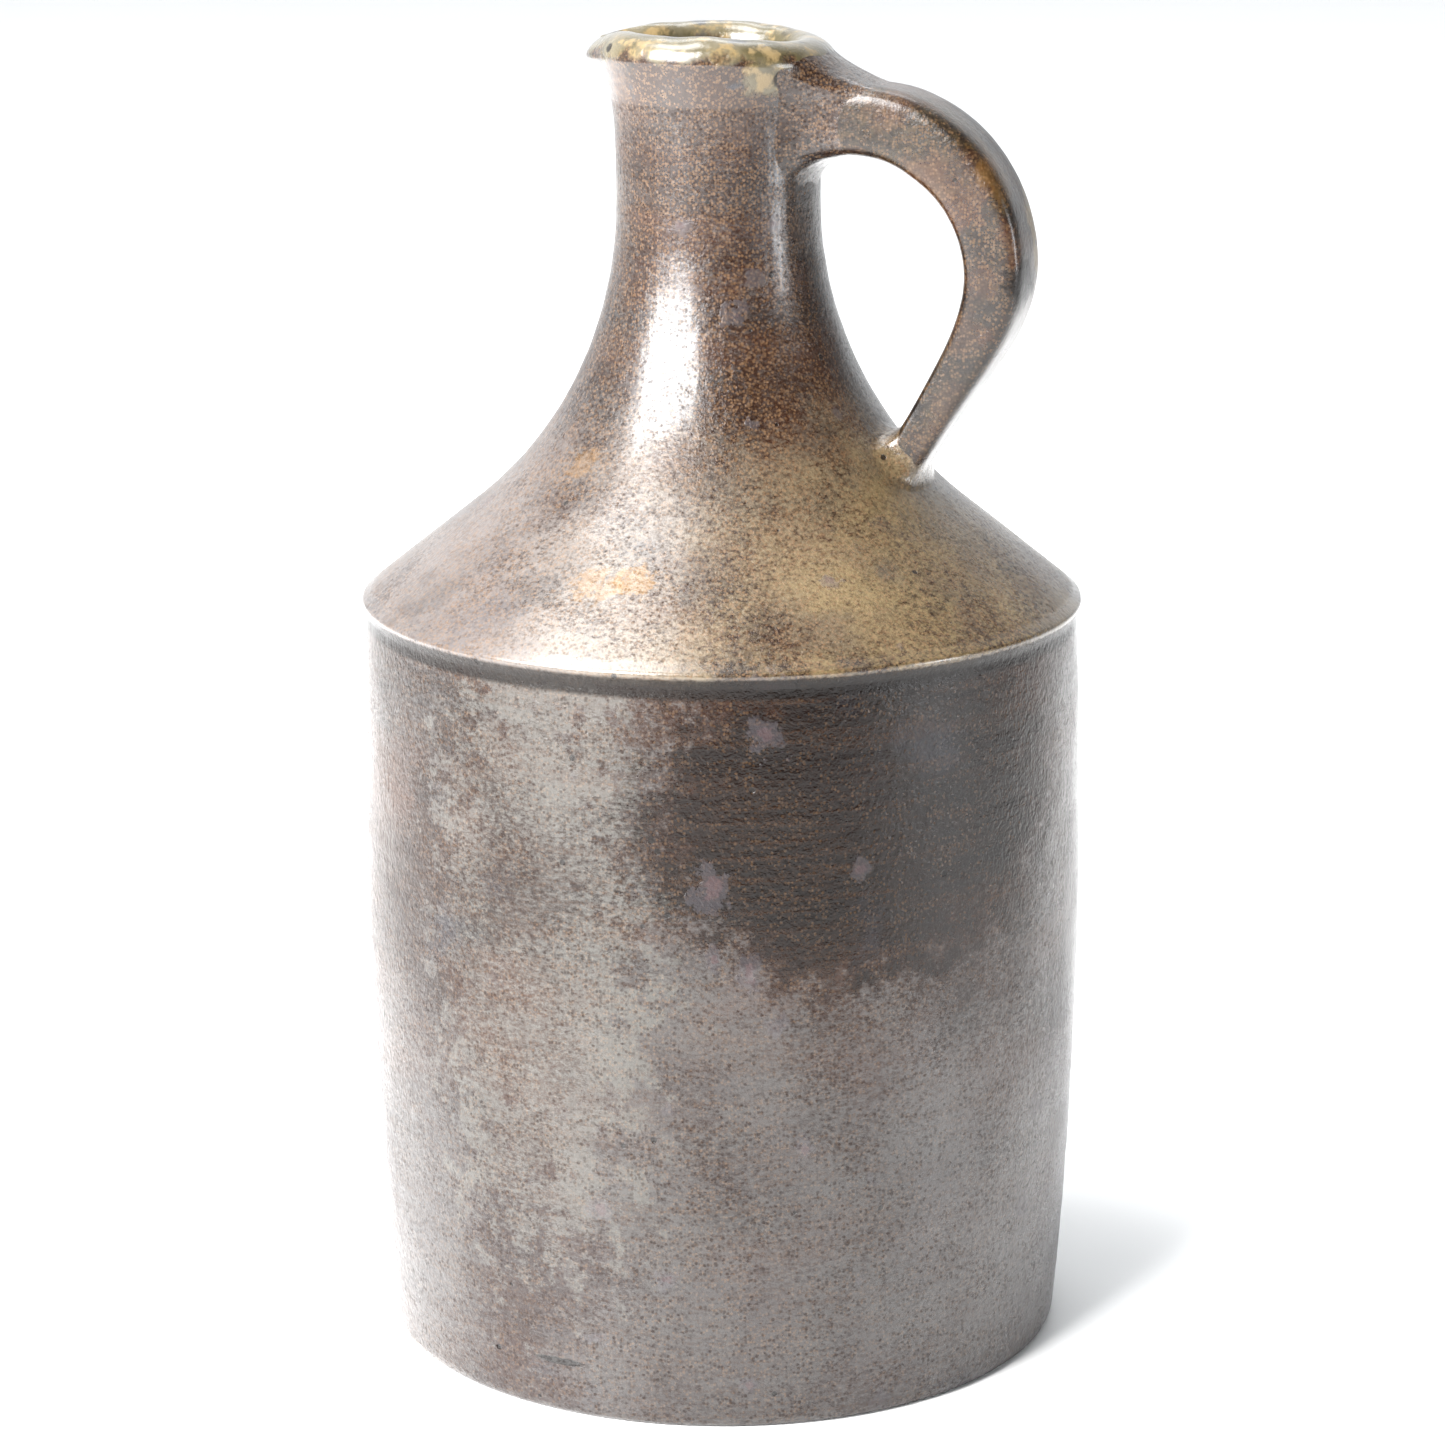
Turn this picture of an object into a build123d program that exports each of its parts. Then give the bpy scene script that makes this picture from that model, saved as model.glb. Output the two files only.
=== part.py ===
from build123d import *

import os
from math import atan2, cos, radians, sin, sqrt, tan

# A stoneware sake bottle with a pouring lip and a strap handle, in millimetres.
#
# It is put together the way a potter makes it: a beaten floor disc, a thrown barrel,
# a shoulder and a neck thrown apart, a lip coil and a pulled strap. A bed of clay slip
# lies in each joint, and soft clay is worked around both ends of the strap. +Z is up,
# the origin is the middle of the foot, the handle is at +X and the beak at -X.

# Floor and barrel
floor_thickness = 9.0
foot_radius = 60.2
foot_round = 1.6
belly_radius = 63.5
belly_height = 75.0
barrel_top_radius = 62.1
barrel_height = 128.6
barrel_wall = 6.0
corner_coil_radius = 4.5

# Shoulder and neck
ledge_overhang = 0.8
ledge_height = 2.7
ledge_round = 2.0
seat_rise = 1.2
shoulder_slope = 38.5
shoulder_wall = 5.0
sweep_radius = 68.0
neck_radius = 17.5
neck_seam_turn = 28.0
neck_straight = 17.0

# Slip bed in each joint between thrown sections
slip = 0.8

# Lip and its pouring beak
lip_height = 11.6
lip_spread = 2.6
lip_flare_start = 1.4
lip_flare_height = 4.4
lip_flare_round = 5.0
lip_outer_round = 4.2
lip_inner_round = 3.2
beak_reach = 6.5
beak_drop = 3.6
beak_droop_start = 13.0
beak_inset = 1.0
beak_tip_radius = 3.6
beak_wall = 2.2

# Strap handle: each section is (thickness, width)
handle_reach = 31.8
handle_root_drop = 3.3
handle_tail_radius = 33.6
handle_tail_lean = 15.0
handle_bury = 6.0
strap_root = (12.0, 17.0)
strap_crown = (12.2, 16.6)
strap_bow = (10.6, 16.0)
strap_low = (7.4, 14.6)
strap_tail = (6.6, 14.0)
strap_corner = 3.0
# Marks on its route, as shares of the handle's reach and of its drop
strap_marks = ((0.40, -0.0035), (0.88, 0.19), (1.0, 0.45), (0.75, 0.77))
strap_sections = (
    (0.0, strap_root),
    (0.28, strap_crown),
    (0.54, strap_bow),
    (0.82, strap_low),
    (1.0, strap_tail),
)

# Soft clay worked around the ends of the strap
root_clay_flare = 3.4
root_clay_reach = 10.0
tail_clay_flare = 1.5
tail_clay_reach = 6.5
clay_feather = 0.6

# The side of the barrel is one arc through the foot, the belly and the barrel's top.
top_r = barrel_top_radius - foot_radius
belly_r = belly_radius - foot_radius
top_half_square = (top_r**2 + barrel_height**2) / 2
belly_half_square = (belly_r**2 + belly_height**2) / 2
arc_cross = top_r * belly_height - belly_r * barrel_height
arc_centre_r = (
    foot_radius + (top_half_square * belly_height - belly_half_square * barrel_height) / arc_cross
)
arc_centre_z = (top_r * belly_half_square - belly_r * top_half_square) / arc_cross
arc_radius = sqrt((foot_radius - arc_centre_r) ** 2 + arc_centre_z**2)

# Heights and radii that follow from the sizes above
wall_base = floor_thickness + slip
ledge_radius = barrel_top_radius + ledge_overhang
ledge_top = barrel_height + slip + ledge_height
slope = radians(shoulder_slope)
sweep_turn = radians(90 - shoulder_slope)
sweep_centre_r = neck_radius + sweep_radius
cone_top_radius = sweep_centre_r - sweep_radius * cos(sweep_turn)
cone_top = ledge_top + (ledge_radius - cone_top_radius) * tan(slope)
sweep_top = cone_top + sweep_radius * sin(sweep_turn)
lip_base = sweep_top + neck_straight
bottle_height = lip_base + lip_height
bore_radius = neck_radius - shoulder_wall
lip_radius = neck_radius + lip_spread
beak_tip = neck_radius + beak_reach


def barrel_radius(z, inset=0.0):
    """Radius at a height of the barrel's outside, or of a surface inset from it."""
    return arc_centre_r + sqrt((arc_radius - inset) ** 2 - (z - arc_centre_z) ** 2)


def shoulder_height(radius):
    """Height of the outside of the shoulder and neck at a radius."""
    if radius > cone_top_radius:
        return ledge_top + (ledge_radius - radius) * tan(slope)
    return sweep_top - sqrt(sweep_radius**2 - (sweep_centre_r - radius) ** 2)


def barrel_outline(low, high, inner_inset):
    """Half section of the barrel between two heights, from an inset out to the side."""
    middle = (low + high) / 2
    with BuildSketch() as half:
        with BuildLine():
            ThreePointArc(*[(barrel_radius(z), z) for z in (low, middle, high)])
            Line((barrel_radius(high), high), (barrel_radius(high, inner_inset), high))
            ThreePointArc(*[(barrel_radius(z, inner_inset), z) for z in (high, middle, low)])
            Line((barrel_radius(low, inner_inset), low), (barrel_radius(low), low))
        make_face()
    return half.sketch


def upper_outline(grow, skirt_radius, top):
    """Filled half section of the shoulder and neck, its outside moved out by grow."""
    skirt_top = ledge_top + (ledge_radius - skirt_radius) * tan(slope) + grow / cos(slope)
    radius = sweep_radius - grow

    def on_sweep(turn):
        return (sweep_centre_r - radius * cos(turn), sweep_top - radius * sin(turn))

    with BuildSketch() as half:
        with BuildLine():
            Polyline((0, top), (0, 0), (skirt_radius, 0), (skirt_radius, skirt_top))
            Line((skirt_radius, skirt_top), on_sweep(sweep_turn))
            ThreePointArc(on_sweep(sweep_turn), on_sweep(sweep_turn / 2), on_sweep(0))
            Polyline(on_sweep(0), (neck_radius + grow, top), (0, top))
        make_face()
    return half.sketch


def lip_outline(grow):
    """Filled half section of the lip without its beak, its outside moved out by grow."""
    flare_base = lip_base + lip_flare_start
    flare_top = flare_base + lip_flare_height
    with BuildSketch() as half:
        with BuildLine():
            Polyline(
                (0, lip_base),
                (neck_radius + grow, lip_base),
                (neck_radius + grow, flare_base),
                (lip_radius + grow, flare_top),
                (lip_radius + grow, bottle_height),
                (0, bottle_height),
                close=True,
            )
        make_face()
        corners = half.vertices().sort_by(Axis.X)[-4:].sort_by(Axis.Y)
        fillet(corners[1:3], lip_flare_round)
        fillet(half.vertices().group_by(Axis.Y)[-1].sort_by(Axis.X)[-1], lip_outer_round)
    return half.sketch


def above_seat(lift):
    """Half section of all that lies above the barrel's sloping seat, lifted by slip."""
    base = barrel_height + lift
    far = 2 * ledge_radius
    with BuildSketch() as half:
        Polygon(
            (0, base + seat_rise * barrel_top_radius / barrel_wall),
            (barrel_top_radius, base),
            (far, base),
            (far, 2 * bottle_height),
            (0, 2 * bottle_height),
            align=None,
        )
    return half.sketch


def above_neck_seam(lift):
    """Half section of all that lies above the seam square to the neck wall, lifted by slip."""
    seam = radians(neck_seam_turn)
    outer_end = sweep_top + lift / cos(seam)
    with BuildSketch() as half:
        Polygon(
            (0, outer_end - sweep_centre_r * tan(seam)),
            (sweep_centre_r, outer_end),
            (sweep_centre_r, 2 * bottle_height),
            (0, 2 * bottle_height),
            align=None,
        )
    return half.sketch


def teardrop(back_radius, tip_radius, reach):
    """Plan of a round body pulled out to a rounded tip that reaches towards -X."""
    with BuildSketch() as plan:
        Circle(back_radius)
        with Locations((tip_radius - reach, 0)):
            Circle(tip_radius)
        make_hull()
    return plan.sketch


def strap_plane(share):
    """Plane across the strap at a share of its length, with X along its width."""
    return Plane(origin=strap_path @ share, x_dir=(0, 1, 0), z_dir=strap_path % share)


upper_wall_top = lip_base - slip
outside = upper_outline(0, ledge_radius, upper_wall_top)
inside = upper_outline(-shoulder_wall, barrel_radius(barrel_height, barrel_wall), upper_wall_top)

# Floor: a beaten disc with a rounded foot, wide enough for the wall to stand on
with BuildPart() as floor_disc:
    with BuildSketch(Plane.XZ):
        add(barrel_outline(0, floor_thickness, barrel_wall))
        Rectangle(foot_radius - barrel_wall / 2, floor_thickness, align=(Align.MIN, Align.MIN))
    revolve(axis=Axis.Z)
    fillet(floor_disc.edges().group_by(Axis.Z)[0], foot_round)
floor_disc.part.label = "floor_disc"

# Bed of slip between the floor and the wall
with BuildPart() as floor_slip:
    with BuildSketch(Plane.XZ):
        add(barrel_outline(floor_thickness, wall_base, barrel_wall))
    revolve(axis=Axis.Z)
floor_slip.part.label = "floor_slip"

# Barrel: slightly bellied, with a seat at the top that rises inwards
with BuildPart() as barrel:
    with BuildSketch(Plane.XZ):
        add(barrel_outline(wall_base, barrel_height + 2 * seat_rise, barrel_wall))
        add(above_seat(0), mode=Mode.SUBTRACT)
    revolve(axis=Axis.Z)
barrel.part.label = "barrel"

# Coil pressed into the inside corner, where the wall meets the floor
with BuildPart() as corner_coil:
    with BuildSketch(Plane.XZ):
        corner_r = barrel_radius(floor_thickness, barrel_wall)
        with Locations((corner_r, floor_thickness)):
            Rectangle(corner_coil_radius, corner_coil_radius, align=(Align.MAX, Align.MIN))
        with Locations((corner_r - corner_coil_radius, floor_thickness + corner_coil_radius)):
            Circle(corner_coil_radius, mode=Mode.SUBTRACT)
        with Locations((corner_r, floor_thickness)):
            Rectangle(slip, corner_coil_radius, align=(Align.MIN, Align.MIN))
    revolve(axis=Axis.Z)
    for neighbour in (floor_slip, barrel):
        add(neighbour.part, mode=Mode.SUBTRACT)
corner_coil.part.label = "corner_coil"

# Bed of slip on the barrel's seat
with BuildPart() as shoulder_slip:
    with BuildSketch(Plane.XZ):
        add(barrel_outline(barrel_height - slip, ledge_top + slip, barrel_wall))
        add(above_seat(0), mode=Mode.INTERSECT)
        add(above_seat(slip), mode=Mode.SUBTRACT)
    revolve(axis=Axis.Z)
shoulder_slip.part.label = "shoulder_slip"

# Shoulder: its ledge stands out past the barrel, and it sweeps up into the neck
with BuildPart() as shoulder:
    with BuildSketch(Plane.XZ) as shoulder_section:
        add(outside)
        add(inside, mode=Mode.SUBTRACT)
        add(above_seat(slip), mode=Mode.INTERSECT)
        add(above_neck_seam(0), mode=Mode.SUBTRACT)
        ledge_corner = shoulder_section.vertices().group_by(Axis.X)[-1].sort_by(Axis.Y)[-1]
        fillet(ledge_corner, ledge_round)
    revolve(axis=Axis.Z)
shoulder.part.label = "shoulder"

# Bed of slip in the neck's seam
with BuildPart() as neck_slip:
    with BuildSketch(Plane.XZ):
        add(outside)
        add(inside, mode=Mode.SUBTRACT)
        add(above_neck_seam(0), mode=Mode.INTERSECT)
        add(above_neck_seam(slip), mode=Mode.SUBTRACT)
    revolve(axis=Axis.Z)
neck_slip.part.label = "neck_slip"

# Neck
with BuildPart() as neck:
    with BuildSketch(Plane.XZ):
        add(outside)
        add(inside, mode=Mode.SUBTRACT)
        add(above_neck_seam(slip), mode=Mode.INTERSECT)
    revolve(axis=Axis.Z)
neck.part.label = "neck"

# Bed of slip between the neck and the lip
with BuildPart() as lip_slip:
    with BuildSketch(Plane.XY.offset(upper_wall_top)):
        Circle(neck_radius)
        Circle(bore_radius, mode=Mode.SUBTRACT)
    extrude(amount=slip)
lip_slip.part.label = "lip_slip"

# Beak: the part of the lip that is pulled out opposite the handle
with BuildPart() as beak:
    beak_top = bottle_height - beak_drop
    with BuildSketch(Plane.XY.offset(lip_base)):
        add(teardrop(bore_radius, beak_tip_radius, neck_radius - beak_inset))
    with BuildSketch(Plane.XY.offset(beak_top)) as beak_plan:
        add(teardrop(bore_radius, beak_tip_radius, beak_tip))
    loft()
    add(beak_plan.sketch)
    extrude(amount=beak_drop - beak_inset)
    with Locations((0, 0, lip_base)):
        Cylinder(
            neck_radius - shoulder_wall / 2,
            lip_height,
            align=(Align.CENTER, Align.CENTER, Align.MIN),
            mode=Mode.SUBTRACT,
        )

# Throat: the channel that runs from the bore out along the beak
with BuildPart() as throat:
    with BuildSketch(Plane.XY.offset(lip_base + lip_flare_start)):
        add(teardrop(bore_radius / 2, beak_tip_radius, bore_radius - beak_inset))
    with BuildSketch(Plane.XY.offset(bottle_height + beak_inset)):
        add(teardrop(bore_radius / 2, beak_tip_radius, beak_tip - beak_wall))
    loft()

# Lip: a rolled coil with the beak, which droops towards its tip
with BuildPart() as lip:
    with BuildSketch(Plane.XZ) as lip_section:
        add(lip_outline(0))
        with Locations((0, lip_base)):
            Rectangle(bore_radius, lip_height, align=(Align.MIN, Align.MIN), mode=Mode.SUBTRACT)
        fillet(lip_section.vertices().group_by(Axis.Y)[-1].sort_by(Axis.X)[0], lip_inner_round)
    revolve(axis=Axis.Z)
    add(beak.part)
    add(throat.part, mode=Mode.SUBTRACT)
    with BuildSketch(Plane.XZ):
        Polygon(
            (-beak_droop_start, bottle_height),
            (-beak_tip, beak_top),
            (-2 * beak_tip, beak_top),
            (-2 * beak_tip, 2 * bottle_height),
            (-beak_droop_start, 2 * bottle_height),
            align=None,
        )
    extrude(amount=beak_tip, both=True, mode=Mode.SUBTRACT)
lip.part.label = "lip"

# What the strap and its clay are fitted to: the filled outside of neck, shoulder and lip
with BuildPart() as body_outside:
    with BuildSketch(Plane.XZ):
        add(upper_outline(0, ledge_radius, lip_base))
        add(lip_outline(0))
    revolve(axis=Axis.Z)
with BuildPart() as body_with_slip:
    with BuildSketch(Plane.XZ):
        add(upper_outline(slip, ledge_radius, lip_base))
        add(lip_outline(slip))
    revolve(axis=Axis.Z)

# Route of the strap: out of the neck, round the bow and down steeply to the shoulder
root_height = lip_base - handle_root_drop
tail_height = shoulder_height(handle_tail_radius)
handle_drop = root_height - tail_height
wall_normal = atan2(sweep_top - tail_height, sweep_centre_r - handle_tail_radius)
tail_angle = wall_normal + radians(handle_tail_lean)
tail_end = (
    handle_tail_radius - handle_bury * cos(tail_angle),
    tail_height - handle_bury * sin(tail_angle),
)
with BuildLine(Plane.XZ) as strap_route:
    Spline(
        (neck_radius - handle_bury, root_height),
        *[
            (neck_radius + out * handle_reach, root_height - down * handle_drop)
            for out, down in strap_marks
        ],
        tail_end,
        tangents=((1, 0), (-cos(tail_angle), -sin(tail_angle))),
    )
strap_path = strap_route.wires()[0]

# Strap: one pulled ribbon of clay, thinner towards the shoulder
with BuildPart() as handle:
    for share, (thickness, width) in strap_sections:
        with BuildSketch(strap_plane(share)):
            RectangleRounded(width, thickness, strap_corner)
    loft()
    add(body_with_slip.part, mode=Mode.SUBTRACT)
handle.part.label = "handle"


def strap_size(share):
    """Thickness and width of the strap at a share of its length."""
    for (start, small), (end, large) in zip(strap_sections, strap_sections[1:]):
        if share <= end:
            mix = (share - start) / (end - start)
            return [low + mix * (high - low) for low, high in zip(small, large)]


def clay_collar(wall_share, end_share, flare):
    """Clay worked around one end of the strap, thick at the wall and feathered out."""
    buried_share = max(0, min(1, 2 * wall_share - end_share))
    rings = ((buried_share, flare), (wall_share, flare), (end_share, clay_feather))
    with BuildPart() as collar:
        for share, spread in rings:
            thickness, width = strap_size(share)
            with BuildSketch(strap_plane(share)):
                RectangleRounded(width + 2 * spread, thickness + 2 * spread, strap_corner + spread)
        loft(ruled=True)
        add(body_outside.part, mode=Mode.SUBTRACT)
        add(handle.part, mode=Mode.SUBTRACT)
    return collar.part


buried = handle_bury / strap_path.length
root_reach = root_clay_reach / strap_path.length
tail_reach = tail_clay_reach / strap_path.length

# Clay worked around the strap where it leaves the neck and the lip
with BuildPart() as handle_root_clay:
    add(clay_collar(buried, buried + root_reach, root_clay_flare))
handle_root_clay.part.label = "handle_root_clay"

# Clay worked around the strap where it comes down on the shoulder
with BuildPart() as handle_tail_clay:
    add(clay_collar(1 - buried, 1 - buried - tail_reach, tail_clay_flare))
handle_tail_clay.part.label = "handle_tail_clay"

os.makedirs("parts", exist_ok=True)
nodes = (
    floor_disc,
    floor_slip,
    barrel,
    corner_coil,
    shoulder_slip,
    shoulder,
    neck_slip,
    neck,
    lip_slip,
    lip,
    handle,
    handle_root_clay,
    handle_tail_clay,
)
for node in nodes:
    export_step(node.part, f"parts/{node.part.label}.step")
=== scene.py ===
import math

import bmesh
import bpy
from mathutils import Matrix, Vector, noise
from mathutils.bvhtree import BVHTree


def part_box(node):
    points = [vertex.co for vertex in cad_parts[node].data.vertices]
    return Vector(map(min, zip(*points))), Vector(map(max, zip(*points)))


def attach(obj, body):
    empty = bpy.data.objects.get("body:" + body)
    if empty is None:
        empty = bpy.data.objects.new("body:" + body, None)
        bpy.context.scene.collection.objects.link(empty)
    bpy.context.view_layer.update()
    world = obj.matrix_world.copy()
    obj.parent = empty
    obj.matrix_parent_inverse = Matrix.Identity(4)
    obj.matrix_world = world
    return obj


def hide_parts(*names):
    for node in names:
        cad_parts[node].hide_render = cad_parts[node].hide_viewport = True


# A wood-ash glazed stoneware sake bottle: the thrown body in its sections, the rolled
# lip with its pulled beak, and the strap handle with the clay worked around its ends.
# Lengths are in metres. The handle is at +X and the beak at -X.

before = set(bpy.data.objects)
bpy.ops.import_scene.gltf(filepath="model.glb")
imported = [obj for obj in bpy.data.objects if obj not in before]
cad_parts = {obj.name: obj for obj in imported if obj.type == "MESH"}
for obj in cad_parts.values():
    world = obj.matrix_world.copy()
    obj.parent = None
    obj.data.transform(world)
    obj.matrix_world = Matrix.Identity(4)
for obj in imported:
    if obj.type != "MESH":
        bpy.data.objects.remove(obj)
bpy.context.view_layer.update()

# ---- sizes from the frame

FLOOR_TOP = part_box("floor_slip")[0].z
WALL_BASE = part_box("floor_slip")[1].z
BELLY_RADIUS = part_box("barrel")[1].x
BARREL_TOP_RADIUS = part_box("shoulder_slip")[1].x
BARREL_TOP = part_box("shoulder_slip")[0].z
LEDGE_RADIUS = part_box("shoulder")[1].x
LEDGE_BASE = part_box("shoulder")[0].z
NECK_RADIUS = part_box("lip_slip")[1].x
NECK_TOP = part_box("lip_slip")[0].z
LIP_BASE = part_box("lip")[0].z
LIP_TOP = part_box("lip")[1].z
LIP_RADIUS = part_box("lip")[1].x
SWELL_START = LIP_BASE - 0.014
FLARE_TOP = LIP_BASE + 0.0072
BEAK_TIP = -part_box("lip")[0].x

# ---- the thrown profile

FOOT_RADIUS = 0.0602
FOOT_ROUND = 0.0016
BELLY_HEIGHT = 0.075
BARREL_WALL = 0.006
SEAT_RISE = 0.0012
LEDGE_HEIGHT = 0.0027
LEDGE_ROUND = 0.0010
SLOPE = math.radians(38.5)
SHOULDER_WALL = 0.005
SWEEP_RADIUS = 0.068
NECK_SEAM_TURN = math.radians(28.0)
SLIP = WALL_BASE - FLOOR_TOP
BORE_RADIUS = NECK_RADIUS - SHOULDER_WALL

LEDGE_LIFT = math.tan((math.radians(90) - SLOPE) / 2)
SWEEP_TURN = math.radians(90.0) - SLOPE
SWEEP_CENTRE = NECK_RADIUS + SWEEP_RADIUS
CONE_TOP_RADIUS = SWEEP_CENTRE - SWEEP_RADIUS * math.cos(SWEEP_TURN)
LEDGE_TOP = LEDGE_BASE + LEDGE_HEIGHT
CONE_TOP = LEDGE_TOP + (LEDGE_RADIUS - CONE_TOP_RADIUS) * math.tan(SLOPE)
SWEEP_TOP = CONE_TOP + SWEEP_RADIUS * math.sin(SWEEP_TURN)

ROUND_STEPS = 480
ROW = 0.00085
LEAN = -0.0007
LEAN_FADE = (0.145, 0.2)
WELD = 2e-6
SHARP_EDGE = math.radians(38)
NEAR_AXIS = 1e-5


def circle_through(a, b, c):
    """Centre and radius of the circle through three points of a plane."""
    (ax, ay), (bx, by), (cx, cy) = a, b, c
    d = 2 * (ax * (by - cy) + bx * (cy - ay) + cx * (ay - by))
    sa, sb, sc = ax * ax + ay * ay, bx * bx + by * by, cx * cx + cy * cy
    x = (sa * (by - cy) + sb * (cy - ay) + sc * (ay - by)) / d
    y = (sa * (cx - bx) + sb * (ax - cx) + sc * (bx - ax)) / d
    return x, y, math.hypot(ax - x, ay - y)


BELLY_ARC = circle_through(
    (FOOT_RADIUS, 0.0), (BELLY_RADIUS, BELLY_HEIGHT), (BARREL_TOP_RADIUS, BARREL_TOP)
)


def barrel_radius(z, inset=0.0):
    """Radius of the barrel's side at a height."""
    x, y, radius = BELLY_ARC
    return x + math.sqrt((radius - inset) ** 2 - (z - y) ** 2)


def sweep_point(turn, inset=0.0):
    """Point of the swept shoulder, by its turn below the level of the sweep's centre."""
    radius = SWEEP_RADIUS + inset
    return SWEEP_CENTRE - radius * math.cos(turn), SWEEP_TOP - radius * math.sin(turn)


def row_of(start, end, row=ROW):
    """Outline points along a straight run, a row apart, with its end left to the next run."""
    count = max(1, round(math.dist(start, end) / row))
    return [tuple(s + (e - s) * i / count for s, e in zip(start, end)) for i in range(count)]


def eased(t):
    """An even S from 0 to 1."""
    return t * t * (3 - 2 * t)


def smooth_step(value, low, high):
    """0 below low, 1 above high, and an even S between."""
    return eased(min(1.0, max(0.0, (value - low) / (high - low))))


# ---- the potter's unevenness


# Depth, waves along each axis and shift of the wobble, ridges, fine lines, dents and dimples
RIPPLES = (
    (0.00022, (14, 14, 9), (0.0, 0.0, 0.0)),
    (0.00007, (6, 6, 260), (0.0, 0.0, 7.0)),
    (0.00003, (30, 30, 640), (3.0, 0.0, 0.0)),
    (0.00008, (75, 75, 75), (0.0, 9.0, 0.0)),
    (0.00003, (320, 320, 260), (0.0, 0.0, 0.0)),
)
RIPPLE_RADIUS = 0.05


def ripple(x, y, z):
    """How far the wall stands out of true at a place."""
    total = 0.0
    for depth, waves, shift in RIPPLES:
        place = [c * n + s for c, n, s in zip((x, y, z), waves, shift)]
        total += depth * noise.noise(Vector(place))
    return total


def lean(z):
    """Sideways shift of the axis: the neck stands a little towards the beak."""
    return LEAN * smooth_step(z, *LEAN_FADE)


def swell(z):
    """How far the outside has opened out towards the lip at a height."""
    rise = min(1.0, max(0.0, (z - SWELL_START) / (FLARE_TOP - SWELL_START)))
    return (LIP_RADIUS - NECK_RADIUS) * rise**3


def throw(bm, below_lip=True):
    """Gives every vertex of a thrown section its ripple, its swell and its lean."""
    for v in bm.verts:
        x, y, z = v.co
        r = math.hypot(x, y)
        if r > NEAR_AXIS:
            opened = swell(z) if below_lip and r > NECK_RADIUS - 0.001 else 0.0
            across, along = x / r * RIPPLE_RADIUS, y / r * RIPPLE_RADIUS
            grown = 1 + (ripple(across, along, z) + opened) / r
            v.co.x, v.co.y = x * grown, y * grown
        v.co.x += lean(z)


# ---- mesh helpers


def put_up(name, data):
    """Stands a new object in the scene."""
    made = bpy.data.objects.new(name, data)
    bpy.context.scene.collection.objects.link(made)
    return made


def as_object(name, bm, material):
    """Turns a bmesh into an object in one material."""
    mesh = bpy.data.meshes.new(name)
    bm.to_mesh(mesh)
    bm.free()
    mesh.materials.append(material)
    return put_up(name, mesh)


def finish_mesh(name, bm, material, node, slot):
    """Turns a bmesh into a smooth piece on the root body that stands for a CAD node."""
    bmesh.ops.remove_doubles(bm, verts=bm.verts, dist=WELD)
    bmesh.ops.recalc_face_normals(bm, faces=bm.faces)
    for face in bm.faces:
        face.smooth = True
    for edge in bm.edges:
        edge.smooth = len(edge.link_faces) == 2 and edge.calc_face_angle() < SHARP_EDGE
    piece = as_object(name, bm, material)
    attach(piece, "root")
    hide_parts(node)


def spin_outline(outline, steps=ROUND_STEPS, closed=True):
    """Spins an outline of (radius, height) points an eighth of a turn, then copies it round."""
    bm = bmesh.new()
    corners = [bm.verts.new((r, 0.0, z)) for r, z in outline]
    ends = corners[1:] + corners[:1] if closed else corners[1:]
    sides = [bm.edges.new(pair) for pair in zip(corners, ends)]
    bmesh.ops.spin(
        bm, geom=corners + sides, cent=(0, 0, 0), axis=(0, 0, 1), angle=math.pi / 4, steps=steps // 8
    )
    for turn in (45, 90, 180):
        part = bm.verts[:] + bm.edges[:] + bm.faces[:]
        copy = bmesh.ops.duplicate(bm, geom=part)["geom"]
        moved = [g for g in copy if isinstance(g, bmesh.types.BMVert)]
        bmesh.ops.rotate(
            bm, verts=moved, cent=(0, 0, 0), matrix=Matrix.Rotation(math.radians(turn), 3, "Z")
        )
        bmesh.ops.remove_doubles(bm, verts=bm.verts, dist=WELD)
    return bm


def side_of_barrel(low, high, row, inset=0.0):
    """Outline points up or down the barrel's side."""
    count = max(1, round(abs(high - low) / row))
    heights = [low + (high - low) * i / count for i in range(count + 1)]
    return [(barrel_radius(z, inset), z) for z in heights]


def side_of_sweep(start, end, row, inset=0.0):
    """Outline points along the swept shoulder between two turns."""
    count = max(1, round(abs(end - start) * SWEEP_RADIUS / row))
    return [sweep_point(start + (end - start) * i / count, inset) for i in range(count + 1)]


def roll(centre, radius, start, end, steps):
    """Outline points round a rolled edge, between two angles in degrees."""
    x, z = centre
    angles = [math.radians(start + (end - start) * i / steps) for i in range(steps + 1)]
    return [(x + radius * math.cos(a), z + radius * math.sin(a)) for a in angles]


# ---- finishes: tools


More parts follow.
